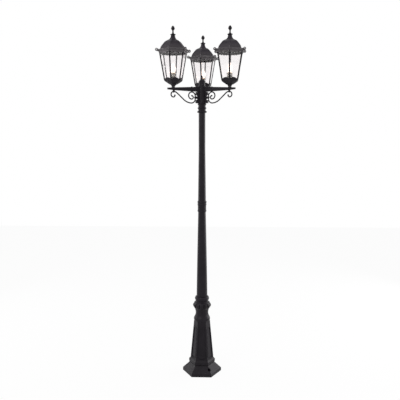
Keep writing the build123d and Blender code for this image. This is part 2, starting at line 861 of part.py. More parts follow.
def half_side(run, edge):
    # half the width of the cage's side at a run up the slope, less an edge at each corner
    return (cage_corner + (cage_top_corner - cage_corner) * run / cage_slant) / 2 - edge


def make_cup():
    # six-sided bowl on a round neck, hollow above
    outer = [(radius * hex_share, cup_foot + height) for radius, height in cup_profile]
    inner = [(radius * hex_share - cup_wall, cup_foot + height + cup_wall * 0.5)
             for radius, height in cup_profile[1:]]
    inner.append((inner[-1][0] + 1, cage_foot + cup_wall))
    with BuildPart() as cup:
        add(vault(outer))
        with BuildSketch(Plane.XY.offset(cup_foot)):
            Circle(cup_neck_radius)
        extrude(amount=cup_profile[1][1])
        add(vault(inner), mode=Mode.SUBTRACT)
        with BuildSketch(Plane.XY.offset(cup_foot)):
            Circle(nipple_radius + thread_gap)
        extrude(amount=cup_height, mode=Mode.SUBTRACT)
    return cup.part


def make_cage():
    # six leaning ribs between a sill with pointed arches and a head band, grooved for the panes
    inner_foot = cage_corner - cage_wall / hex_share
    inner_top = cage_top_corner - cage_wall / hex_share
    window_top = cage_slant - head_band
    with BuildPart() as cage:
        for height, corner in ((cage_foot, cage_corner), (cage_top, cage_top_corner)):
            with BuildSketch(Plane.XY.offset(height)):
                RegularPolygon(corner, 6)
        loft(ruled=True)
        for height, corner in ((cage_foot + cage_floor, inner_foot), (cage_top, inner_top)):
            with BuildSketch(Plane.XY.offset(height)):
                RegularPolygon(corner, 6)
        loft(ruled=True, mode=Mode.SUBTRACT)
        with BuildSketch(Plane.XY.offset(cage_foot)):
            RegularPolygon(cage_floor_hole, 6)
        extrude(amount=cage_floor, mode=Mode.SUBTRACT)
        for azimuth in range(30, 390, 60):
            low, high = half_side(sill_height, rib_width), half_side(window_top, rib_width)
            with BuildSketch(lantern_face(azimuth, -1)):
                with BuildLine():
                    Polyline((low, sill_height), (high, window_top), (-high, window_top),
                             (-low, sill_height))
                    ThreePointArc((-low, sill_height), (-low * 0.45, sill_height + sill_arch * 0.72),
                                  (0, sill_height + sill_arch))
                    ThreePointArc((0, sill_height + sill_arch),
                                  (low * 0.45, sill_height + sill_arch * 0.72), (low, sill_height))
                make_face()
            extrude(amount=-(cage_wall + 3), mode=Mode.SUBTRACT)
            groove_foot = sill_height - 4
            groove_low, groove_high = half_side(groove_foot, groove_edge), half_side(cage_slant, groove_edge)
            with BuildSketch(lantern_face(azimuth, groove_depth)):
                with BuildLine():
                    Polyline((groove_low, groove_foot), (groove_high, cage_slant + 2),
                             (-groove_high, cage_slant + 2), (-groove_low, groove_foot), close=True)
                make_face()
            extrude(amount=-(pane_thickness + 2 * pane_gap), mode=Mode.SUBTRACT)
    return cage.part


def make_panes():
    # six flat panes that slide down the grooves of the ribs
    foot = sill_height - 4 + pane_gap
    top = cage_slant - (groove_depth + 2 * pane_gap + pane_thickness) * tan(radians(cage_lean)) - pane_gap
    edge = groove_edge + 2 * pane_gap
    with BuildPart() as panes:
        for azimuth in range(30, 390, 60):
            low, high = half_side(foot, edge), half_side(top, edge)
            with BuildSketch(lantern_face(azimuth, groove_depth + pane_gap)):
                with BuildLine():
                    Polyline((low, foot), (high, top), (-high, top), (-low, foot), close=True)
                make_face()
            extrude(amount=-pane_thickness)
    return panes.part


def make_floor_plate():
    # plate on the cage's floor, which the nut on the nipple holds down
    corner = cage_corner - (cage_wall + floor_plate_gap) / hex_share
    with BuildPart() as plate:
        with BuildSketch(Plane.XY.offset(cage_foot + cage_floor)):
            RegularPolygon(corner, 6)
            Circle(nipple_radius + thread_gap, mode=Mode.SUBTRACT)
        extrude(amount=floor_plate_thickness)
    return plate.part


def make_gallery():
    # base ring, upright that the roof stands on, flared crest with pierced lobes, an ear at each
    # corner and the fringe that hangs over the panes
    crest_lean = crest_slope
    crest_foot = (gallery_corner - 2) * hex_share
    crest_out = crest_length * sin(radians(crest_lean)) / hex_share
    foot_half, top_half = (gallery_corner - 2) / 2, (gallery_corner - 2 + crest_out) / 2
    lobe = 2 * top_half / crest_lobes
    inner_corner = cage_top_corner - (cage_wall + 4) / hex_share
    fringe_half = half_side(cage_slant, -1)
    fringe_step = 2 * (fringe_half - 3) / len(fringe_lobe_depths)
    ear_height = cage_top + gallery_height * 0.64
    upright_hole_height = (cage_top + gallery_base + roof_foot - lip_depth) / 2
    with BuildPart() as gallery:
        with BuildSketch(Plane.XY.offset(cage_top)):
            RegularPolygon(gallery_corner, 6)
            RegularPolygon(inner_corner, 6, mode=Mode.SUBTRACT)
        extrude(amount=gallery_base)
        with BuildSketch(Plane.XY.offset(cage_top)):
            RegularPolygon(upright_corner, 6)
            RegularPolygon(upright_corner - upright_wall / hex_share, 6, mode=Mode.SUBTRACT)
        extrude(amount=gallery_height)
        for azimuth in range(30, 390, 60):
            with BuildSketch(sloping(azimuth, crest_foot, cage_top + 1, crest_lean)):
                with BuildLine():
                    Polyline((-top_half, crest_length), (-foot_half, 0), (foot_half, 0),
                             (top_half, crest_length))
                    for i in range(crest_lobes):
                        right = top_half - i * lobe
                        ThreePointArc((right, crest_length),
                                      (right - lobe / 2, crest_length + crest_lobe_rise),
                                      (right - lobe, crest_length))
                make_face()
                with Locations((0, crest_length - 4)):
                    with GridLocations(lobe, 1, crest_lobes, 1):
                        Circle(crest_hole, mode=Mode.SUBTRACT)
            extrude(amount=-crest_thickness)
            with BuildSketch(lantern_face(azimuth, -0.3)):
                root = cage_slant - fringe_root_depth
                with BuildLine():
                    Polyline((-fringe_half + 3, root), (-fringe_half + 2, cage_slant + 1),
                             (fringe_half - 2, cage_slant + 1), (fringe_half - 3, root))
                    for i, depth in enumerate(fringe_lobe_depths):
                        right = fringe_half - 3 - i * fringe_step
                        ThreePointArc((right, root), (right - fringe_step / 2, cage_slant - depth),
                                      (right - fringe_step, root))
                make_face()
            extrude(amount=fringe_thickness)
            with BuildSketch(radial(azimuth, upright_corner * hex_share + 1, upright_hole_height)):
                with GridLocations(upright_corner / upright_holes, 1, upright_holes, 1):
                    Circle(upright_hole)
            extrude(amount=-(upright_wall + 2), mode=Mode.SUBTRACT)
        for azimuth in range(0, 360, 60):
            with BuildSketch(upright(azimuth)):
                with BuildLine():
                    Polyline((upright_corner - 2, cage_top + 1), (gallery_corner, cage_top + 1),
                             (ear_reach + ear_radius * 0.7, ear_height - ear_radius * 0.6),
                             (ear_reach, ear_height + ear_radius * 0.8),
                             (upright_corner - 2, ear_height - 2), close=True)
                make_face()
                with Locations((ear_reach, ear_height)):
                    Circle(ear_radius)
                    Circle(ear_hole, mode=Mode.SUBTRACT)
            extrude(amount=ear_thickness / 2, both=True)
        for azimuth in (30, 150, 270):
            hole = radial(azimuth, upright_corner, roof_screw_height)
            add(pin(hole, roof_screw_radius + thread_gap, upright_corner / 2), mode=Mode.SUBTRACT)
    return gallery.part


roof_screw_height = roof_foot - lip_depth / 2


def make_roof_screws():
    # three screws through the upright, whose tips hold the lip of the roof
    seat = upright_corner * hex_share
    lip_face = (upright_corner - upright_wall / hex_share) * hex_share - lip_gap
    with BuildPart() as screws:
        for azimuth in (30, 150, 270):
            add(pin(radial(azimuth, seat, roof_screw_height), roof_screw_radius,
                    seat - lip_face - seat_gap, roof_screw_head, roof_screw_head_height))
    return screws.part


def make_roof():
    # six-sided ogee dome, hollow, with a drip bead and a lip that drops inside the gallery
    outer = [(radius * hex_share, roof_foot + height) for radius, height in roof_profile]
    inner = [(radius * hex_share - roof_wall, roof_foot + height - roof_wall * 0.7)
             for radius, height in roof_profile[:-1]]
    lip_corner = upright_corner - upright_wall / hex_share - lip_gap / hex_share
    with BuildPart() as roof:
        add(vault(outer))
        with BuildSketch(Plane.XY.offset(roof_foot)):
            RegularPolygon(roof_corner + roof_bead, 6)
        extrude(amount=roof_bead)
        add(vault(inner), mode=Mode.SUBTRACT)
        with BuildSketch(Plane.XY.offset(roof_foot - lip_depth)):
            RegularPolygon(lip_corner, 6)
            RegularPolygon(lip_corner - lip_thickness / hex_share, 6, mode=Mode.SUBTRACT)
        extrude(amount=lip_depth + 2)
        with BuildSketch(Plane.XY.offset(finial_foot)):
            Circle(finial_stud_radius + thread_gap)
        extrude(amount=-2 * finial_stud_length, mode=Mode.SUBTRACT)
    return roof.part


def make_finial():
    # vent crown, spindle and bud in one turning, with a stud that screws into the roof
    foot = finial_foot
    top = foot + finial_height
    with BuildPart() as finial:
        with BuildSketch(Plane.XZ):
            with BuildLine():
                Polyline((0, foot - finial_stud_length), (finial_stud_radius, foot - finial_stud_length),
                         (finial_stud_radius, foot), (13, foot), (13, foot + 2))
                Spline((13, foot + 2), (14.5, foot + 5), (18, foot + 8))
                Line((18, foot + 8), (16.5, foot + 10))
                Spline((16.5, foot + 10), (9.5, foot + 13), (5.6, foot + 19), (4.8, foot + 27))
                Spline((4.8, foot + 27), (5.4, foot + 33), (7.5, foot + 37), (12.3, foot + 43))
                Spline((12.3, foot + 43), (11.5, foot + 48), (7.5, foot + 57), (0, top))
                Line((0, top), (0, foot - finial_stud_length))
            make_face()
        revolve(axis=Axis.Z)
    return finial.part


# ---------------------------------------------------------------- lampholder and bulb


def make_lampholder():
    # ceramic body that screws onto the nipple, open above for the bulb's cap
    top = holder_foot + holder_height
    with BuildPart() as holder:
        with BuildSketch(Plane.XZ):
            with BuildLine():
                Polyline((0, holder_foot), (holder_base_radius, holder_foot),
                         (holder_base_radius, holder_foot + 7))
                Spline((holder_base_radius, holder_foot + 7),
                       (holder_radius - 1, holder_foot + 12), (holder_radius, holder_foot + 17))
                Polyline((holder_radius, holder_foot + 17), (holder_radius, top - 6),
                         (holder_radius + 1, top - 5), (holder_radius + 1, top), (0, top),
                         (0, holder_foot))
            make_face()
        revolve(axis=Axis.Z)
        with BuildSketch(Plane.XY.offset(holder_foot + holder_floor)):
            Circle(holder_bore)
        extrude(amount=holder_height, mode=Mode.SUBTRACT)
        with BuildSketch(Plane.XY.offset(holder_foot)):
            Circle(nipple_radius + thread_gap)
        extrude(amount=holder_thread, mode=Mode.SUBTRACT)
        with BuildSketch(Plane.XY.offset(holder_foot)):
            Circle(2.6)
        extrude(amount=holder_floor, mode=Mode.SUBTRACT)
    return holder.part


def make_contacts():
    # brass screw shell, and the centre contact with its rivet
    shell_radius = holder_bore - shell_gap
    foot = holder_foot + holder_floor
    with BuildPart() as contacts:
        with BuildSketch(Plane.XY.offset(foot)):
            Circle(shell_radius)
            Circle(shell_radius - shell_wall, mode=Mode.SUBTRACT)
        extrude(amount=holder_height - holder_floor - 2)
        with BuildSketch(Plane.XY.offset(foot - 3.5)):
            Circle(2.5)
        extrude(amount=3.5)
        with BuildSketch(Plane.XY.offset(foot)):
            Circle(5)
        extrude(amount=1.4)
    return contacts.part


def make_bulb_cap():
    # screw cap with rolled threads and its centre contact
    rim = bulb_foot + cap_shell_length
    pitch = 3.6
    with BuildPart() as cap:
        with BuildSketch(Plane.XY.offset(bulb_foot + 3)):
            Circle(cap_shell_radius - 0.8)
        extrude(amount=cap_shell_length - 3)
        with BuildSketch(Plane.XZ):
            for i in range(5):
                with Locations((cap_shell_radius - 1.1, bulb_foot + 6 + i * pitch)):
                    Circle(1.1)
        revolve(axis=Axis.Z)
        with BuildSketch(Plane.XY.offset(bulb_foot)):
            Circle(4.5)
        with BuildSketch(Plane.XY.offset(bulb_foot + 3)):
            Circle(cap_shell_radius - 0.8)
        loft()
        with BuildSketch(Plane.XY.offset(rim)):
            Circle(cap_shell_radius - 2)
        extrude(amount=-cap_shell_length + 7, mode=Mode.SUBTRACT)
    return cap.part


def make_bulb_glass():
    # candle-shaped envelope, open at its neck
    foot = bulb_foot + cap_shell_length
    top = foot + bulb_length
    neck = cap_shell_radius - 0.8
    outer = [(neck, foot), (neck + 0.6, foot + 5), (bulb_radius, foot + 0.36 * bulb_length),
             (bulb_radius * 0.72, foot + 0.7 * bulb_length), (2, top - 2)]
    inner = [(radius - bulb_wall, height) for radius, height in outer[:-1]] + [(1, top - 4)]
    with BuildPart() as glass:
        with BuildSketch(Plane.XZ):
            with BuildLine():
                Spline(*outer)
                Polyline(outer[-1], (0, top), (0, top - 4), inner[-1])
                Spline(*inner[::-1])
                Line(inner[0], outer[0])
            make_face()
        revolve(axis=Axis.Z)
    return glass.part


# ---------------------------------------------------------------- fasteners of the post


def make_socket_bolts():
    # three bolts hold the pedestal on the plinth, and three hold the crown on the pedestal
    with BuildPart() as bolts:
        for azimuth in (90, 210, 330):
            for circle, seat, grip in (
                (plinth_bolt_circle, plinth_top - plinth_plate, plinth_plate + pedestal_flange),
                (crown_bolt_circle, pedestal_top - pedestal_flange, pedestal_flange + crown_floor - 3),
            ):
                place = upright(azimuth).from_local_coords((circle, seat, 0))
                add(pin(Plane(origin=place, z_dir=(0, 0, -1)), bolt_radius, grip,
                        bolt_head_radius, bolt_head_height))
    bolts.part.label = "socket_bolts"
    export_step(bolts.part, "parts/socket_bolts.step")


def make_grub_screws():
    # one in the crown, one in the middle collar and one in the hub, each against its column
    bead = upper_column_foot_radius + collar_bead
    with BuildPart() as screws:
        for azimuth, height, surface, face in (
            (270, crown_screw_height, lower_column_foot_radius + lower_column_land, crown_cup_radius),
            (330, column_joint - 4, lower_radius(column_joint - 4) + 0.15, bead - 1.5),
            (270, hub_foot + 14, upper_column_shaft_radius, hub_radius),
        ):
            add(pin(radial(azimuth, face, height), grub_radius, face - surface - 0.05,
                    grub_radius, grub_head))
    screws.part.label = "grub_screws"
    export_step(screws.part, "parts/grub_screws.step")


def make_arm_screws():
    # two screws hold each arm on its tongue
    with BuildPart() as screws:
        for azimuth in arm_azimuths.values():
            for place in arm_screw_places:
                seat = arm_screw_seat(place)
                origin = upright(azimuth).from_local_coords((place, seat, 0))
                grip = seat - (arm_height + tongue_width / 2) + 3
                add(pin(Plane(origin=origin, z_dir=(0, 0, 1)), arm_screw_radius, grip,
                        arm_screw_head, arm_screw_head_height))
    screws.part.label = "arm_screws"
    export_step(screws.part, "parts/arm_screws.step")


def make_scroll_screws():
    # each scroll has one screw up into the arm and one into the hub's lug
    pad_face = lug_reach + pad_length
    with BuildPart() as screws:
        for azimuth in arm_azimuths.values():
            add(pin(radial(azimuth, pad_face, lug_middle), scroll_screw_radius,
                    pad_face - lug_reach + 12, scroll_screw_head, scroll_screw_head_height))
            origin = upright(azimuth).from_local_coords(
                (arm_reach + scroll_crest_out, boss_foot - pad_length, 0)
            )
            add(pin(Plane(origin=origin, z_dir=(0, 0, -1)), scroll_screw_radius, scroll_bar + 5,
                    scroll_screw_head, scroll_screw_head_height))
    screws.part.label = "scroll_screws"
    export_step(screws.part, "parts/scroll_screws.step")


def make_nipples():
    # hollow threaded tubes that carry the wires from the arms into the lampholders
    foot = boss_top - nipple_in_arm + seat_gap
    top = holder_foot + holder_thread - seat_gap
    with BuildPart() as nipples:
        with BuildSketch(Plane.XY.offset(foot)):
            for azimuth in arm_azimuths.values():
                with PolarLocations(arm_reach, 1, start_angle=azimuth):
                    Circle(nipple_radius)
                    Circle(nipple_bore, mode=Mode.SUBTRACT)
        extrude(amount=top - foot)
    nipples.part.label = "nipples"
    export_step(nipples.part, "parts/nipples.step")


def make_lock_nuts():
    # one nut under each cup and one on each floor plate
    with BuildPart() as nuts:
        for foot in (boss_top, inner_nut_foot):
            with BuildSketch(Plane.XY.offset(foot)):
                for azimuth in arm_azimuths.values():
                    with PolarLocations(arm_reach, 1, start_angle=azimuth):
                        RegularPolygon(nut_corner, 6)
                        Circle(nipple_radius + thread_gap, mode=Mode.SUBTRACT)
            extrude(amount=nut_height)
    nuts.part.label = "lock_nuts"
    export_step(nuts.part, "parts/lock_nuts.step")


# ---------------------------------------------------------------- all pieces in their places

make_plinth()
make_pedestal()
make_crown()
make_lower_column()
make_upper_column()
make_joiner()
make_mid_collar()
make_top_collar()
make_hub()
make_hub_cap()
make_terminal_block()
make_socket_bolts()
make_grub_screws()
make_arm_screws()
make_scroll_screws()
make_nipples()
make_lock_nuts()

arm_pieces = {"arm": make_arm(), "scroll": make_scroll()}
lantern_pieces = {
    "cup": make_cup(),
    "cage": make_cage(),
    "panes": make_panes(),
    "floor_plate": make_floor_plate(),
    "gallery": make_gallery(),
    "roof_screws": make_roof_screws(),
    "lampholder": make_lampholder(),
    "contacts": make_contacts(),
    "bulb_cap": make_bulb_cap(),
    "bulb_glass": make_bulb_glass(),
    "roof": make_roof(),
    "finial": make_finial(),
}

for side, azimuth in arm_azimuths.items():
    for piece, master in arm_pieces.items():
        with BuildPart() as placed:
            add(master, rotation=(0, 0, azimuth))
        placed.part.label = f"{piece}_{side}"
        export_step(placed.part, f"parts/{piece}_{side}.step")
    axis_point = upright(azimuth).from_local_coords((arm_reach, 0, 0))
    stand = Location(axis_point, (0, 0, azimuth + lantern_turns[side]))
    for piece, master in lantern_pieces.items():
        with BuildPart() as placed:
            with Locations(stand):
                add(master)
        placed.part.label = f"{side}_{piece}"
        export_step(placed.part, f"parts/{side}_{piece}.step")
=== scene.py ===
import json
import math
import bpy
import bmesh
from mathutils import Matrix, Vector
from mathutils.bvhtree import BVHTree

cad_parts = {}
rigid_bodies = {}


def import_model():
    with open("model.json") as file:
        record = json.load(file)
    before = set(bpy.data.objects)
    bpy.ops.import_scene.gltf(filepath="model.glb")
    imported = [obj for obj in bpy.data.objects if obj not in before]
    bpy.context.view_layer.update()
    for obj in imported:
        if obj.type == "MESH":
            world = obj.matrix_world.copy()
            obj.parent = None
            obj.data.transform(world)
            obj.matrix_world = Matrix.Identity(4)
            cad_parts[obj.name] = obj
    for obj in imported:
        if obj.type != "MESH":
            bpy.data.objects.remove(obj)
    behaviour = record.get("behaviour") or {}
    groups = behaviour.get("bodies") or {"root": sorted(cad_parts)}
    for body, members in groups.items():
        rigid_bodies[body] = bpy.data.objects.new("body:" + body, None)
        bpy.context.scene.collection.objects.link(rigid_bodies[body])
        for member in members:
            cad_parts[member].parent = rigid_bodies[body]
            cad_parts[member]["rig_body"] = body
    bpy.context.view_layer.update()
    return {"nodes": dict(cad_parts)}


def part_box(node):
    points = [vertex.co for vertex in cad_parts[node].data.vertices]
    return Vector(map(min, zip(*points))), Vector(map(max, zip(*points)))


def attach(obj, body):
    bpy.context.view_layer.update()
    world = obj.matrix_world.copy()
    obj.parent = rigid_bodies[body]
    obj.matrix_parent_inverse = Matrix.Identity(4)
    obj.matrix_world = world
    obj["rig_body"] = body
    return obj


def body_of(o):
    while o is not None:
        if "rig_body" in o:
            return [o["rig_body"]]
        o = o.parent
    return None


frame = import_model()
nodes = frame["nodes"]
print("frame loaded:", len(nodes), "pieces")

sides = ("left", "rear", "right")


# colours and materials

class Signal:
    # one output of a node; sums and products of signals add their own Math nodes
    def __init__(self, tree, socket):
        self.tree, self.socket = tree, socket

    def make(self, kind, settings=None, sockets=None, out=0):
        # any node: its settings first, then values or links for its sockets
        node = self.tree.nodes.new(kind)
        for key, value in (settings or {}).items():
            setattr(node, key, value)
        for key, value in (sockets or {}).items():
            if isinstance(value, Signal):
                self.tree.links.new(value.socket, node.inputs[key])
            else:
                node.inputs[key].default_value = value
        return Signal(self.tree, node.outputs[out])

    def calc(self, operation, a, b=0.0):
        return self.make("ShaderNodeMath", {"operation": operation}, {0: a, 1: b})

    def __add__(self, other):
        return self.calc("ADD", self, other)

    def __sub__(self, other):
        return self.calc("SUBTRACT", self, other)

    def __mul__(self, other):
        return self.calc("MULTIPLY", self, other)

    def __truediv__(self, other):
        return self.calc("DIVIDE", self, other)

    def __rsub__(self, other):
        return self.calc("SUBTRACT", other, self)

    def __rtruediv__(self, other):
        return self.calc("DIVIDE", other, self)

    __radd__, __rmul__ = __add__, __mul__

    def clipped(self, low=0.0, high=1.0):
        return self.calc("MINIMUM", self.calc("MAXIMUM", self, low), high)

    def band(self, low, high):
        # 0 below low, 1 above high, smooth between
        return self.make("ShaderNodeMapRange", {"interpolation_type": "SMOOTHSTEP"},
                         {"Value": self, "From Min": low, "From Max": high})

    def noise(self, scale, detail=3.0, roughness=0.55, stretch=None):
        place = self
        if stretch:
            place = self.make("ShaderNodeMapping", None, {"Vector": self, "Scale": stretch})
        return self.make("ShaderNodeTexNoise", None,
                         {"Vector": place, "Scale": scale, "Detail": detail, "Roughness": roughness})

    def blend(self, first, second):
        # a colour between two, by this signal
        first, second = (end if isinstance(end, Signal) else (*end, 1) for end in (first, second))
        return self.make("ShaderNodeMix", {"data_type": "RGBA"}, {0: self, 6: first, 7: second}, 2)


def newMaterial(name, constants):
    # a material with one Principled shader, its fixed values, and the Object coordinates to paint by
    material = bpy.data.materials.new(name)
    material.use_nodes = True
    tree = material.node_tree
    shader = tree.nodes["Principled BSDF"]
    for key, value in constants.items():
        shader.inputs[key].default_value = (*value, 1) if isinstance(value, tuple) else value
    coords = Signal(tree, tree.nodes.new("ShaderNodeTexCoord").outputs["Object"])
    return material, shader, coords


def feed(shader, **signals):
    # links signals to sockets such as Base_Color or Roughness
    for key, signal in signals.items():
        signal.tree.links.new(signal.socket, shader.inputs[key.replace("_", " ")])


def bumped(coords, height, distance):
    return coords.make("ShaderNodeBump", None, {"Height": height, "Distance": distance, "Strength": 1.0})


def dimmed(color, shares):
    return tuple(channel * share for channel, share in zip(color, shares))


castPaint = {"dark": (0.0098, 0.0078, 0.0108), "pale": (0.0165, 0.0135, 0.018), "dustAndLitFoot": (0.045, 0.041, 0.045),
             "roughness": 0.42, "shine": 0.16, "grain": 620.0, "grainDepth": 0.00018, "lumps": 38.0,
             "lumpDepth": 0.0006, "clouds": 9.0, "specks": 17.0, "speckShare": 0.25}
# painted shade: the columns take a slightly darker copy of the casting paint, standing in for the shade on
# their upright sides, which catch less light from above than the roofs
tubePaintShaded = {**castPaint, "dark": (0.0095, 0.0075, 0.0105), "pale": (0.015, 0.0125, 0.0165),
             "roughness": 0.36, "shine": 0.18, "grainDepth": 0.00012, "lumpDepth": 0.0001}
barPaint = {**castPaint, "roughness": 0.36, "lumpDepth": 0.0003}
# painted light: the roof takes a lighter copy of the casting paint, standing in for the light its up-turned
# faces catch from above
roofPaintLit = {**castPaint, "dark": (0.016, 0.0125, 0.018), "pale": (0.032, 0.026, 0.0345),
             "dustAndLitFoot": (0.085, 0.077, 0.084), "litFootHeights": (2.186, 2.222), "litFootShare": 0.8}
# painted light: the gallery is satin black like the rest, but it is painted grey here as a painted highlight
# for the glints on its flared crest and the light showing through its pierced lace
galleryPaintedHighlight = {**castPaint, "dark": (0.094, 0.086, 0.092), "pale": (0.16, 0.148, 0.157),
                "dustAndLitFoot": (0.21, 0.20, 0.205)}
bumpUnit = 0.001  # the depths are told to Bump in millimetres


def paintCast(name, spec):
    # powder coat on sand-cast aluminium: fine orange peel over slow lumps, a little dust in the lows
    material, shader, coords = newMaterial(name, {"IOR": 1.45, "Specular IOR Level": spec["shine"]})
    lumps = coords.noise(spec["lumps"], 3.0)
    peel = coords.noise(spec["grain"], 2.0, 0.6)
    clouds = coords.noise(spec["clouds"], 4.0)
    tone = (clouds * 0.7 + lumps * 0.3).band(0.35, 0.68)
    dustAndLitFoot = coords.noise(spec["specks"], 5.0, 0.7).band(0.58, 0.8) * spec["speckShare"]
    if "litFootHeights" in spec:  # painted light: paler towards the foot of the piece, between two heights, a painted highlight where the gallery lets light through; the random specks above it are dust
        height = coords.make("ShaderNodeSeparateXYZ", None, {"Vector": coords}, "Z")
        dustAndLitFoot = (dustAndLitFoot + (1.0 - height.band(*spec["litFootHeights"])) * spec["litFootShare"]).clipped()
    relief = lumps * (spec["lumpDepth"] / bumpUnit) + peel * (spec["grainDepth"] / bumpUnit)
    feed(shader,
         Base_Color=dustAndLitFoot.blend(tone.blend(spec["dark"], spec["pale"]), spec["dustAndLitFoot"]),
         Roughness=tone * 0.1 + dustAndLitFoot * 0.5 + (spec["roughness"] - 0.05),
         Normal=bumped(coords, relief, bumpUnit))
    return material


fasteners = {"color": (0.014, 0.014, 0.015), "roughness": 0.34, "metallic": 0.0}
zinc = {"color": (0.50, 0.50, 0.48), "roughness": 0.38, "metallic": 1.0}
brassware = {"color": (0.62, 0.42, 0.16), "roughness": 0.30, "metallic": 1.0}
metalWear = {"clouds": 55.0, "scratches": 900.0, "dulled": (0.72, 0.72, 0.72), "depth": 0.00008}


def paintMetal(name, spec):
    # plated or painted metal: fine brushing and a cloud of duller spots
    material, shader, coords = newMaterial(name, {"Metallic": spec["metallic"]})
    clouds = coords.noise(metalWear["clouds"], 4.0)
    scratches = coords.noise(metalWear["scratches"], 2.0, 0.7)
    feed(shader,
         Base_Color=clouds.band(0.4, 0.7).blend(spec["color"], dimmed(spec["color"], metalWear["dulled"])),
         Roughness=clouds * 0.16 + (spec["roughness"] - 0.08),
         Normal=bumped(coords, scratches, metalWear["depth"]))
    return material


porcelain = {"color": (0.34, 0.32, 0.285), "roughness": 0.22, "warm": (0.95, 0.9, 0.82), "clouds": 30.0}
connectorPlastic = {**porcelain, "color": (0.72, 0.72, 0.68), "roughness": 0.4}


def paintGlaze(name, spec):
    # a coated pale body, clouded with a warmer tone
    material, shader, coords = newMaterial(name, {"Coat Roughness": 0.05, "Coat Weight": 0.5})
    clouds = coords.noise(spec["clouds"], 3.0)
    feed(shader,
         Base_Color=clouds.band(0.35, 0.7).blend(spec["color"], dimmed(spec["color"], spec["warm"])),
         Roughness=clouds * 0.1 + (spec["roughness"] - 0.05),
         Normal=bumped(coords, clouds, 0.0002))
    return material


# painted light: the panes' faint pink tint stands in for the warm light of the lit bulbs in the glass
paneGlass = {"color": (0.998, 0.979, 0.982), "streak": (0.97, 0.97, 0.97), "roughness": 0.02, "seeds": 260.0,
             "waves": 15.0, "tall": (1.0, 1.0, 0.35), "depth": 0.00013, "glow": 0.0,
             "warmth": (1.0, 0.80, 0.72)}
bulbGlass = {**paneGlass, "color": (1.0, 0.97, 0.95), "seeds": 900.0, "glow": 0.2}


def paintGlass(name, spec):
    # clear glass with slow upright waves and small seeds; a lit bulb's glass glows a little
    material, shader, coords = newMaterial(name, {"Transmission Weight": 1.0, "IOR": 1.45,
                                                  "Roughness": spec["roughness"],
                                                  "Emission Color": spec["warmth"],
                                                  "Emission Strength": spec["glow"]})
    waves = coords.noise(spec["waves"], 2.0, 0.5, spec["tall"])
    cells = coords.make("ShaderNodeTexVoronoi", None, {"Vector": coords, "Scale": spec["seeds"]})
    feed(shader,
         Base_Color=waves.blend(spec["color"], dimmed(spec["color"], spec["streak"])),
         Normal=bumped(coords, waves * 0.9 + cells.band(0.1, 0.3) * 0.1, spec["depth"]))
    return material


materials = {
    "cast": paintCast("satin black casting", castPaint),
    "tube": paintCast("satin black tube painted darker as shade", tubePaintShaded),
    "bar": paintCast("satin black bar", barPaint),
    "roof": paintCast("satin black roof painted lighter as light from above", roofPaintLit),
    "gallery": paintCast("black gallery painted grey as highlight", galleryPaintedHighlight),
    "screw": paintMetal("black screw", fasteners),
    "zinc": paintMetal("zinc plate", zinc),
    "brass": paintMetal("dull brass", brassware),
    "porcelain": paintGlaze("glazed porcelain", porcelain),
    "plastic": paintGlaze("pale connector", connectorPlastic),
    "pane": paintGlass("seeded pane", paneGlass),
    "bulb": paintGlass("bulb glass", bulbGlass),
}
print("finishes mixed:", len(materials))


# camera, floor and lamps

pictureWidth = 400.0  # pixels
standpoint = {"distance": 3.470, "height": 1.615, "tilt": 6.71, "turn": 1.9, "focal": 515.0, "shift": 2.0,
              "film": 36.0}


def setCamera():
    # the distance, height and lens of the photograph, worked out from the post's proportions
    data = bpy.data.cameras.new("camera")
    data.sensor_width = standpoint["film"]
    data.lens = standpoint["focal"] / pictureWidth * standpoint["film"]
    data.shift_x = -standpoint["shift"] / pictureWidth
    camera = bpy.data.objects.new("camera", data)
    turn, distance = math.radians(standpoint["turn"]), standpoint["distance"]
    camera.location = (distance * math.sin(turn), -distance * math.cos(turn), standpoint["height"])
    camera.rotation_euler = (math.radians(90 - standpoint["tilt"]), 0, turn)
    bpy.context.collection.objects.link(camera)
    bpy.context.scene.camera = camera


studio = {"ambient": 0.55, "sky": (1.0, 1.0, 1.0), "floorHalf": 6.0, "floorColor": (0.8, 0.8, 0.8),
          "floorRoughness": 0.9, "floorGlow": 0.94,
          "underPlinth": (0.113, 0.116)}  # within this radius the ground stays in the plinth's shade


def seenRays(tree):
    # 1 for what the camera sees itself, mirrored or through glass
    path = tree.nodes.new("ShaderNodeLightPath")
    camera, mirrored, through = (Signal(tree, path.outputs[f"Is {kind} Ray"])
                                 for kind in ("Camera", "Glossy", "Transmission"))
    return (camera + mirrored + through).clipped()


def lightWorld():
    # an even pale world that is white wherever it is seen
    world = bpy.data.worlds.new("studio")
    world.use_nodes = True
    bpy.context.scene.world = world
    background = world.node_tree.nodes["Background"]
    background.inputs["Color"].default_value = (*studio["sky"], 1)
    strength = seenRays(world.node_tree) * (1 - studio["ambient"]) + studio["ambient"]
    world.node_tree.links.new(strength.socket, background.inputs["Strength"])


def layFloor():
    # a matt floor that takes the shadow, with a white glow where it is seen
    mesh = bpy.data.meshes.new("floor")
    half = studio["floorHalf"]
    mesh.from_pydata([(-half, -half, 0), (half, -half, 0), (half, half, 0), (-half, half, 0)], [],
                     [(0, 1, 2, 3)])
    floor = bpy.data.objects.new("floor", mesh)
    bpy.context.collection.objects.link(floor)
    material, shader, spot = newMaterial("pale floor", {"Base Color": studio["floorColor"],
                                                        "Roughness": studio["floorRoughness"]})
    tree = material.node_tree
    reach = spot.make("ShaderNodeVectorMath", {"operation": "LENGTH"}, {0: spot}, "Value")
    share = seenRays(tree) * reach.band(*studio["underPlinth"]) * studio["floorGlow"]
    matt, glow = Signal(tree, shader.outputs[0]), spot.make("ShaderNodeEmission")
    surface = share.make("ShaderNodeMixShader", None, {0: share, 1: matt, 2: glow})
    tree.links.new(surface.socket, tree.nodes["Material Output"].inputs["Surface"])
    mesh.materials.append(material)


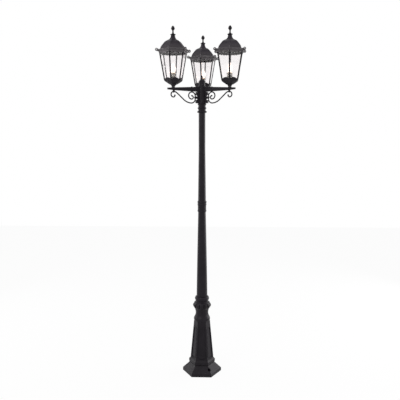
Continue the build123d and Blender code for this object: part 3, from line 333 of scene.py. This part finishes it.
lamps = (
    {"name": "key", "place": (-2.2, -3.2, 3.6), "aim": (0, 0, 1.3), "size": 1.8, "power": 60},
    {"name": "right strip", "place": (2.6, 1.1, 1.7), "aim": (0, 0, 1.5), "size": 2.8, "power": 76},
    {"name": "left strip", "place": (-2.6, 0.9, 1.6), "aim": (0, 0, 1.5), "size": 2.0, "power": 27},
)


def hangLamps():
    for spec in lamps:
        data = bpy.data.lights.new(spec["name"], "AREA")
        data.shape, data.size, data.energy = "SQUARE", spec["size"], spec["power"]
        lamp = bpy.data.objects.new(spec["name"], data)
        lamp.location = spec["place"]
        beam = Vector(spec["aim"]) - Vector(spec["place"])
        lamp.rotation_euler = beam.to_track_quat("-Z", "Y").to_euler()
        bpy.context.collection.objects.link(lamp)


setCamera()
lightWorld()
layFloor()
hangLamps()
bpy.context.scene.view_settings.view_transform = "Standard"
bpy.context.view_layer.update()
print("camera, floor and lamps ready")


# the surfaces of the frame, which the ornament lies on

armAzimuths = {"left": 210, "rear": 90, "right": 330}
lanternTurns = {"left": -10, "rear": -9, "right": -3}  # how far each lantern is turned on its nipple
postAxis = Vector((0, 0, 0))


def surfaceOf(name):
    # what rays can hit on one piece of the frame
    shape = bmesh.new()
    shape.from_mesh(nodes[name].data)
    shape.transform(nodes[name].matrix_world)
    tree = BVHTree.FromBMesh(shape)
    shape.free()
    return tree


def bodyOf(name):
    return list(body_of(nodes[name]))[0]


def axisOf(name):
    low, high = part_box(name)
    return Vector(((low[0] + high[0]) / 2, (low[1] + high[1]) / 2, 0))


def heightsOf(name):
    low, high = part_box(name)
    return low[2], high[2]


def pointOn(surface, centre, azimuth, sideways, height, reach=0.3):
    # where a level ray from outside meets a piece, in the piece's own frame with x along the azimuth
    turn = Matrix.Rotation(math.radians(azimuth), 4, "Z")
    start = centre + turn @ Vector((reach, sideways, height))
    hit = surface.ray_cast(start, turn @ Vector((-1, 0, 0)))[0]
    return turn.inverted() @ (hit - centre) if hit else None


def outlineOf(surface, centre, azimuth, low, high, count, sink):
    # points up the outline of a piece at one azimuth, sunk a little under its surface
    found = [pointOn(surface, centre, azimuth, 0, low + (high - low) * i / (count - 1)) for i in range(count)]
    return [point - Vector((sink, 0, 0)) for point in found if point]


# growing the ornament

def newGrowth(name, **inputs):
    # an empty Geometry Nodes tree with named inputs
    tree = bpy.data.node_groups.new(name, "GeometryNodeTree")
    tree.interface.new_socket("Path", in_out="INPUT", socket_type="NodeSocketGeometry")
    for key, kind in inputs.items():
        tree.interface.new_socket(key, in_out="INPUT", socket_type="NodeSocket" + kind)
    tree.interface.new_socket("Piece", in_out="OUTPUT", socket_type="NodeSocketGeometry")
    entry = tree.nodes.new("NodeGroupInput")
    given = {item.name: Signal(tree, item) for item in entry.outputs if item.name}
    return tree, given


def ringOf(shape, given):
    # turned copies of a shape about the upright axis, joined and given their material
    spots = shape.make("GeometryNodeMeshLine", None, {"Count": given["Copies"], "Offset": (0.0, 0.0, 0.0)})
    step = 2 * math.pi / given["Copies"]
    turn = step.make("ShaderNodeCombineXYZ", None, {"Z": step.make("GeometryNodeInputIndex") * step})
    copies = shape.make("GeometryNodeInstanceOnPoints", None,
                        {"Points": spots, "Instance": shape, "Rotation": turn})
    solid = copies.make("GeometryNodeRealizeInstances", None, {"Geometry": copies})
    finished = solid.make("GeometryNodeSetMaterial", None, {"Geometry": solid, "Material": given["Material"]})
    leave = shape.tree.nodes.new("NodeGroupOutput")
    shape.tree.links.new(finished.socket, leave.inputs[0])


def growBars():
    # a round bar along each path, thinner towards its end
    tree, given = newGrowth("bars", Radius="Float", Taper="Float", Sides="Int", Copies="Int",
                            Material="Material")
    path = given["Path"].make("GeometryNodeMeshToCurve", None, {"Mesh": given["Path"]})
    thinner = 1.0 - path.make("GeometryNodeSplineParameter") * given["Taper"]
    path = path.make("GeometryNodeSetCurveRadius", None, {"Curve": path, "Radius": thinner})
    ring = path.make("GeometryNodeCurvePrimitiveCircle", None,
                     {"Resolution": given["Sides"], "Radius": given["Radius"]})
    bar = path.make("GeometryNodeCurveToMesh", None,
                    {"Curve": path, "Profile Curve": ring, "Fill Caps": True})
    ringOf(bar, given)
    return tree


def growRows():
    # an ornament set out evenly along a path
    tree, given = newGrowth("rows", Ornament="Object", Count="Int", Lean="Vector", Copies="Int",
                            Material="Material")
    path = given["Path"].make("GeometryNodeMeshToCurve", None, {"Mesh": given["Path"]})
    spots = path.make("GeometryNodeResampleCurve", None, {"Curve": path, "Count": given["Count"]})
    ornament = path.make("GeometryNodeObjectInfo", None, {"Object": given["Ornament"]}, "Geometry")
    row = path.make("GeometryNodeInstanceOnPoints", None,
                    {"Points": spots, "Instance": ornament, "Rotation": given["Lean"]})
    ringOf(row, given)
    return tree


def growCopies():
    # the source mesh itself, copied round the axis
    tree, given = newGrowth("copies", Copies="Int", Material="Material")
    ringOf(given["Path"], given)
    return tree


growths = {"bars": growBars(), "rows": growRows(), "copies": growCopies()}


def pathMesh(points, closed=False):
    mesh = bpy.data.meshes.new("path")
    last = len(points) - 1
    edges = [(i, i + 1) for i in range(last)] + ([(last, 0)] if closed else [])
    mesh.from_pydata([tuple(point) for point in points], edges, [])
    return mesh


def meshOf(name, shape):
    # a closed bmesh with its faces turned outwards, as a mesh
    mesh = bpy.data.meshes.new(name)
    bmesh.ops.recalc_face_normals(shape, faces=shape.faces)
    shape.to_mesh(mesh)
    shape.free()
    return mesh


def grow(name, growth, source, body, centre, azimuth, paint, ornament=None, **values):
    # runs a tree on a source mesh, keeps the result as a plain mesh in its place and lets it ride on a body
    carrier = bpy.data.objects.new("carrier", source)
    bpy.context.collection.objects.link(carrier)
    modifier = carrier.modifiers.new("grow", "NODES")
    modifier.node_group = growths[growth]
    values["Material"] = materials[paint]
    if ornament:
        values["Ornament"] = bpy.data.objects.new("ornament", ornament)
    for item in growths[growth].interface.items_tree:
        if item.item_type == "SOCKET" and item.in_out == "INPUT" and item.name in values:
            modifier[item.identifier] = values[item.name]
    grown = carrier.evaluated_get(bpy.context.evaluated_depsgraph_get())
    mesh = bpy.data.meshes.new_from_object(grown)
    bpy.data.objects.remove(carrier)
    if ornament:
        bpy.data.objects.remove(values["Ornament"])
    mesh.transform(Matrix.Translation(centre) @ Matrix.Rotation(math.radians(azimuth), 4, "Z"))
    mesh.materials.clear()
    mesh.materials.append(materials[paint])
    mesh.name = name
    mesh.polygons.foreach_set("use_smooth", [True] * len(mesh.polygons))
    mesh.set_sharp_from_angle(angle=math.radians(40))
    piece = bpy.data.objects.new(name, mesh)
    bpy.context.collection.objects.link(piece)
    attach(piece, body)


def circle(radius, height, count):
    # points of a level circle about the upright axis
    return [(radius * math.cos(a), radius * math.sin(a), height)
            for a in (2 * math.pi * k / count for k in range(count))]


leafForm = {"leastHalf": 0.0008, "back": 0.0012, "crownFrom": 0.12, "crownRun": 0.8, "ridgeWidth": 0.16,
            "grooves": 3, "grooveShare": 0.35}


def drapedLeaf(surface, centre, azimuth, low, high, spec):
    # a leaf laid on a surface: crowned between its edges, ridged down the middle, closed behind
    across, along = spec["across"], spec["along"]
    tipFrom, fullness = spec["shape"]
    front, back = [], []
    for j in range(along + 1):
        v = j / along
        swell = math.sin(math.pi * min(1.0, tipFrom + v * (1 - tipFrom))) ** fullness
        half = max(spec["width"] / 2 * swell, leafForm["leastHalf"])
        crown = spec["rise"] * math.sin(math.pi * (leafForm["crownFrom"] + leafForm["crownRun"] * v))
        for i in range(across + 1):
            u = 2 * i / across - 1
            base = pointOn(surface, centre, azimuth, u * half, low + (high - low) * v)
            ridge = spec["ridge"] * (math.exp(-(u / leafForm["ridgeWidth"]) ** 2)
                                     - leafForm["grooveShare"] * math.cos(leafForm["grooves"] * math.pi * u))
            height = crown * (1 - u * u) + ridge * math.sin(math.pi * v) ** 0.5
            front.append(base + Vector((height, 0, 0)))
            back.append(base - Vector((leafForm["back"], 0, 0)))
    shape = bmesh.new()
    tops = [shape.verts.new(point) for point in front]
    backs = [shape.verts.new(point) for point in back]
    wide = across + 1
    for j in range(along):
        for i in range(across):
            a, b, c, d = j * wide + i, j * wide + i + 1, (j + 1) * wide + i + 1, (j + 1) * wide + i
            shape.faces.new((tops[a], tops[b], tops[c], tops[d]))
            shape.faces.new((backs[d], backs[c], backs[b], backs[a]))
    border = ([i for i in range(across)] + [j * wide + across for j in range(along)]
              + [along * wide + i for i in range(across, 0, -1)] + [j * wide for j in range(along, 0, -1)])
    for a, b in zip(border, border[1:] + border[:1]):
        shape.faces.new((tops[b], tops[a], backs[a], backs[b]))
    return meshOf("leaf", shape)


# ornament of the lanterns

gallery = {"crestFoot": 0.0935, "crestLean": 55.0, "crestLength": 0.017, "crestRise": 0.001, "holeRun": 0.013}
crestRings = {"radius": 0.0043, "thickness": 0.0009, "perSide": 4, "lift": 0.0002, "around": 14, "across": 5}
crestPearls = {"radius": 0.0016, "perSide": 12, "run": 0.0038, "lift": 0.0004, "margin": 0.004,
               "around": 8, "rows": 5}
roofRibs = {"radius": 0.0014, "sink": 0.0007, "steps": 26, "taper": 0.35, "foot": 0.0235, "head": 0.0012}
cupRibs = {"radius": 0.0015, "sink": 0.0006, "steps": 12, "taper": 0.4, "foot": 0.0115, "head": 0.0008}
cupLeaf = {"foot": 0.0125, "head": 0.0015, "width": 0.040, "rise": 0.0018, "ridge": 0.0011,
           "shape": (0.12, 0.7), "across": 12, "along": 10}
hexShare = math.cos(math.pi / 6)  # flat to corner of a hexagon
crestLean = math.radians(gallery["crestLean"])


def ringMesh(spec):
    # a closed ring that lies flat
    shape = bmesh.new()
    around, across = spec["around"], spec["across"]
    sections = []
    for i in range(around):
        a = 2 * math.pi * i / around
        sections.append([])
        for k in range(across):
            b = 2 * math.pi * k / across
            reach = spec["radius"] + spec["thickness"] * math.cos(b)
            sections[i].append(shape.verts.new((reach * math.cos(a), reach * math.sin(a),
                                                spec["thickness"] * math.sin(b))))
    for i, section in enumerate(sections):
        following = sections[(i + 1) % around]
        for k in range(across):
            shape.faces.new((section[k], following[k], following[(k + 1) % across],
                             section[(k + 1) % across]))
    return meshOf("ring", shape)


def pearlMesh(spec):
    shape = bmesh.new()
    bmesh.ops.create_uvsphere(shape, u_segments=spec["around"], v_segments=spec["rows"], radius=spec["radius"])
    return meshOf("pearl", shape)


def crestRow(cageTop, run, lift, half):
    # a straight row on the outer face of the flared crest, at azimuth 0
    reach = gallery["crestFoot"] * hexShare + run * math.sin(crestLean) + lift * math.cos(crestLean)
    height = cageTop + gallery["crestRise"] + run * math.cos(crestLean) - lift * math.sin(crestLean)
    return pathMesh([(reach, -half, height), (reach, half, height)])


def dressCrest(side, azimuth, centre, body):
    # rings round the pierced holes of the gallery's six sides, and a row of pearls under them
    cageTop = heightsOf(f"{side}_cage")[1]
    flat = Matrix(((0, math.sin(crestLean), math.cos(crestLean)), (1, 0, 0),
                   (0, math.cos(crestLean), -math.sin(crestLean)))).to_euler()
    topHalf = (gallery["crestFoot"] + gallery["crestLength"] * math.sin(crestLean) / hexShare) / 2
    ringHalf = topHalf - topHalf / crestRings["perSide"]
    pearlHalf = gallery["crestFoot"] / 2 - crestPearls["margin"]
    # the rings and pearls take the gallery finish, whose grey is a painted highlight
    grow(f"{side}_crest_rings", "rows", crestRow(cageTop, gallery["holeRun"], crestRings["lift"], ringHalf),
         body, centre, azimuth + 30, "gallery", ringMesh(crestRings), Count=crestRings["perSide"], Lean=flat,
         Copies=6)
    grow(f"{side}_crest_pearls", "rows",
         crestRow(cageTop, crestPearls["run"], crestPearls["lift"], pearlHalf),
         body, centre, azimuth + 30, "gallery", pearlMesh(crestPearls), Count=crestPearls["perSide"],
         Lean=flat, Copies=6)


def dressLantern(side):
    azimuth = armAzimuths[side] + lanternTurns[side]
    centre = axisOf(f"{side}_finial")
    body, roofBody = bodyOf(f"{side}_cage"), bodyOf(f"{side}_roof")
    roof, cup = surfaceOf(f"{side}_roof"), surfaceOf(f"{side}_cup")
    roofFoot, roofHead = heightsOf(f"{side}_cage")[1] + roofRibs["foot"], heightsOf(f"{side}_roof")[1]
    ridge = outlineOf(roof, centre, azimuth, roofFoot, roofHead - roofRibs["head"], roofRibs["steps"],
                      roofRibs["sink"])
    grow(f"{side}_roof_ribs", "bars", pathMesh(ridge), roofBody, centre, azimuth, "roof",
         Radius=roofRibs["radius"], Taper=roofRibs["taper"], Sides=8, Copies=6)
    dressCrest(side, azimuth, centre, body)
    cupLow, cupHigh = heightsOf(f"{side}_cup")
    edge = outlineOf(cup, centre, azimuth, cupLow + cupRibs["foot"], cupHigh - cupRibs["head"],
                     cupRibs["steps"], cupRibs["sink"])
    grow(f"{side}_cup_ribs", "bars", pathMesh(edge[::-1]), body, centre, azimuth, "cast",
         Radius=cupRibs["radius"], Taper=cupRibs["taper"], Sides=8, Copies=6)
    leaf = drapedLeaf(cup, centre, azimuth + 30, cupLow + cupLeaf["foot"], cupHigh - cupLeaf["head"], cupLeaf)
    grow(f"{side}_cup_leaves", "copies", leaf, body, centre, azimuth + 30, "cast", Copies=6)


for side in sides:
    dressLantern(side)
print("lantern ornament in place")


# ornament of the post

crownLeaf = {"count": 12, "foot": 0.012, "share": 0.55, "head": 0.0065, "width": 0.024, "rise": 0.0016,
             "ridge": 0.0012, "shape": (0.2, 0.45), "across": 12, "along": 12}


def dressCrown():
    # twelve leaves standing round the lower part of the crown
    low, high = heightsOf("pedestal_crown")
    leafTop = low + crownLeaf["share"] * (high - low) - crownLeaf["head"]
    leaf = drapedLeaf(surfaceOf("pedestal_crown"), postAxis, 0, low + crownLeaf["foot"], leafTop, crownLeaf)
    grow("crown_leaves", "copies", leaf, bodyOf("pedestal_crown"), postAxis, 0, "cast",
         Copies=crownLeaf["count"])


panelBead = {"radius": 0.0019, "margin": 0.0018, "foot": 0.034, "low": 0.018, "lowHalf": 0.0282, "bottom": 0.3,
             "high": 0.21, "highHalf": 0.0193, "top": 0.8, "upright": 0.997, "steps": 10}


def linePoints(start, end, count):
    # points of a straight run, without its end
    return [tuple(a + (b - a) * i / count for a, b in zip(start, end)) for i in range(count)]


def arcPoints(start, middle, end, count):
    # points of the circle through three flat points, without its end
    a, b, c = (Vector(p) for p in (start, middle, end))
    d = 2 * (a.x * (b.y - c.y) + b.x * (c.y - a.y) + c.x * (a.y - b.y))
    centre = Vector(((a.length_squared * (b.y - c.y) + b.length_squared * (c.y - a.y)
                      + c.length_squared * (a.y - b.y)) / d,
                     (a.length_squared * (c.x - b.x) + b.length_squared * (a.x - c.x)
                      + c.length_squared * (b.x - a.x)) / d))
    first, through, last = (math.atan2(p.y - centre.y, p.x - centre.x) for p in (a, b, c))
    while last < first:
        last += 2 * math.pi
    while through < first:
        through += 2 * math.pi
    if through > last:
        last -= 2 * math.pi
    radius = (a - centre).length
    angles = [first + (last - first) * i / count for i in range(count)]
    return [(centre.x + radius * math.cos(angle), centre.y + radius * math.sin(angle)) for angle in angles]


def dressPanels():
    # the bead that frames the sunk panel of each side of the pedestal, with an arched top
    spec = panelBead
    low, high, margin, steps = spec["low"], spec["high"], spec["margin"], spec["steps"]
    lowHalf, highHalf = spec["lowHalf"] + margin, spec["highHalf"] + margin
    bottom, top = low - lowHalf * spec["bottom"] - margin, high + highHalf * spec["top"] + margin
    run = (arcPoints((lowHalf, low), (0, bottom), (-lowHalf, low), steps)
           + linePoints((-lowHalf, low), (-highHalf, high), steps)
           + arcPoints((-highHalf, high), (0, top), (highHalf, high), steps)
           + linePoints((highHalf, high), (lowHalf, low), steps))
    pedestal, foot = surfaceOf("pedestal"), heightsOf("pedestal")[0] + spec["foot"]
    spots = [pointOn(pedestal, postAxis, 30, y, foot + z * spec["upright"]) for y, z in run]
    grow("panel_beads", "bars", pathMesh(spots, True), bodyOf("pedestal"), postAxis, 30, "cast",
         Radius=spec["radius"], Taper=0.0, Sides=8, Copies=6)


dressCrown()
dressPanels()
print("post ornament in place")


# the lit bulbs

stem = {"rings": ((0.0085, -0.004), (0.0070, 0.002), (0.0046, 0.010), (0.0036, 0.018), (0.0050, 0.0215),
                  (0.0044, 0.0235)), "tip": 0.0245, "around": 20}  # radius and height over the bulb's foot
filament = {"wire": 0.0003, "loops": 5, "spread": 0.0062, "pinch": 0.75, "low": 0.024, "high": 0.046,
            "turn": 20, "strength": 12.0, "color": (1.0, 0.60, 0.40), "hot": (1.0, 0.78, 0.55),
            "wireColor": (0.3, 0.2, 0.1), "spots": 160.0}


def paintGlow(name, spec):
    # hot wire, whiter in spots
    material, shader, coords = newMaterial(name, {"Base Color": spec["wireColor"], "Roughness": 0.5,
                                                  "Emission Strength": spec["strength"]})
    heat = coords.noise(spec["spots"], 2.0).band(0.3, 0.7)
    feed(shader, Emission_Color=heat.blend(spec["color"], spec["hot"]))
    return material


def stemMesh(foot):
    # the flared glass stem that carries the wire
    shape = bmesh.new()
    around = stem["around"]
    rows = [[shape.verts.new(point) for point in circle(radius, foot + height, around)]
            for radius, height in stem["rings"]]
    for lower, upper in zip(rows, rows[1:]):
        for k in range(around):
            shape.faces.new((lower[k], lower[(k + 1) % around], upper[(k + 1) % around], upper[k]))
    for row, height in ((rows[0], stem["rings"][0][1]), (rows[-1], stem["tip"])):
        pole = shape.verts.new((0, 0, foot + height))
        for k in range(around):
            shape.faces.new((row[k], row[(k + 1) % around], pole))
    return meshOf("stem", shape)


def wirePoints(foot):
    # the filament's zigzag round the stem: out and low, in and high by turns
    count = 2 * filament["loops"] + 1
    outer = circle(filament["spread"], foot + filament["low"], count)
    inner = circle(filament["spread"] * filament["pinch"], foot + filament["high"], count)
    return [inner[i] if i % 2 else outer[i] for i in range(count)]


def lightBulb(side):
    name = f"{side}_bulb_glass"
    body, centre, foot = bodyOf(name), axisOf(name), heightsOf(name)[0]
    grow(f"{side}_stem", "copies", stemMesh(foot), body, centre, 0, "bulb", Copies=1)
    grow(f"{side}_filament", "bars", pathMesh(wirePoints(foot)), body, centre, filament["turn"], "filament",
         Radius=filament["wire"], Taper=0.0, Sides=6, Copies=1)


materials["filament"] = paintGlow("hot filament", filament)
for side in sides:
    lightBulb(side)
print("bulbs lit")


# finishes of the frame's own pieces

finishes = {
    "base_plinth": "cast", "pedestal": "cast", "pedestal_crown": "cast", "mid_collar": "cast",
    "top_collar": "cast", "hub": "cast", "hub_cap": "cast", "lower_column": "tube", "upper_column": "tube",
    "column_joiner": "zinc", "socket_bolts": "zinc", "lock_nuts": "screw", "nipples": "brass",
    "terminal_block": "plastic", "grub_screws": "screw", "arm_screws": "screw", "scroll_screws": "screw",
}
lanternFinishes = {
    "cup": "cast", "cage": "cast", "gallery": "gallery", "floor_plate": "cast", "roof": "roof",
    "finial": "cast", "roof_screws": "screw", "panes": "pane", "lampholder": "porcelain",
    "contacts": "brass", "bulb_cap": "brass", "bulb_glass": "bulb",
}
for side in sides:
    finishes.update({f"arm_{side}": "cast", f"scroll_{side}": "bar"})
    finishes.update({f"{side}_{piece}": finish for piece, finish in lanternFinishes.items()})
for name, piece in nodes.items():
    piece.data.materials.clear()
    piece.data.materials.append(materials[finishes[name]])
print("finishes given to", len(finishes), "pieces")
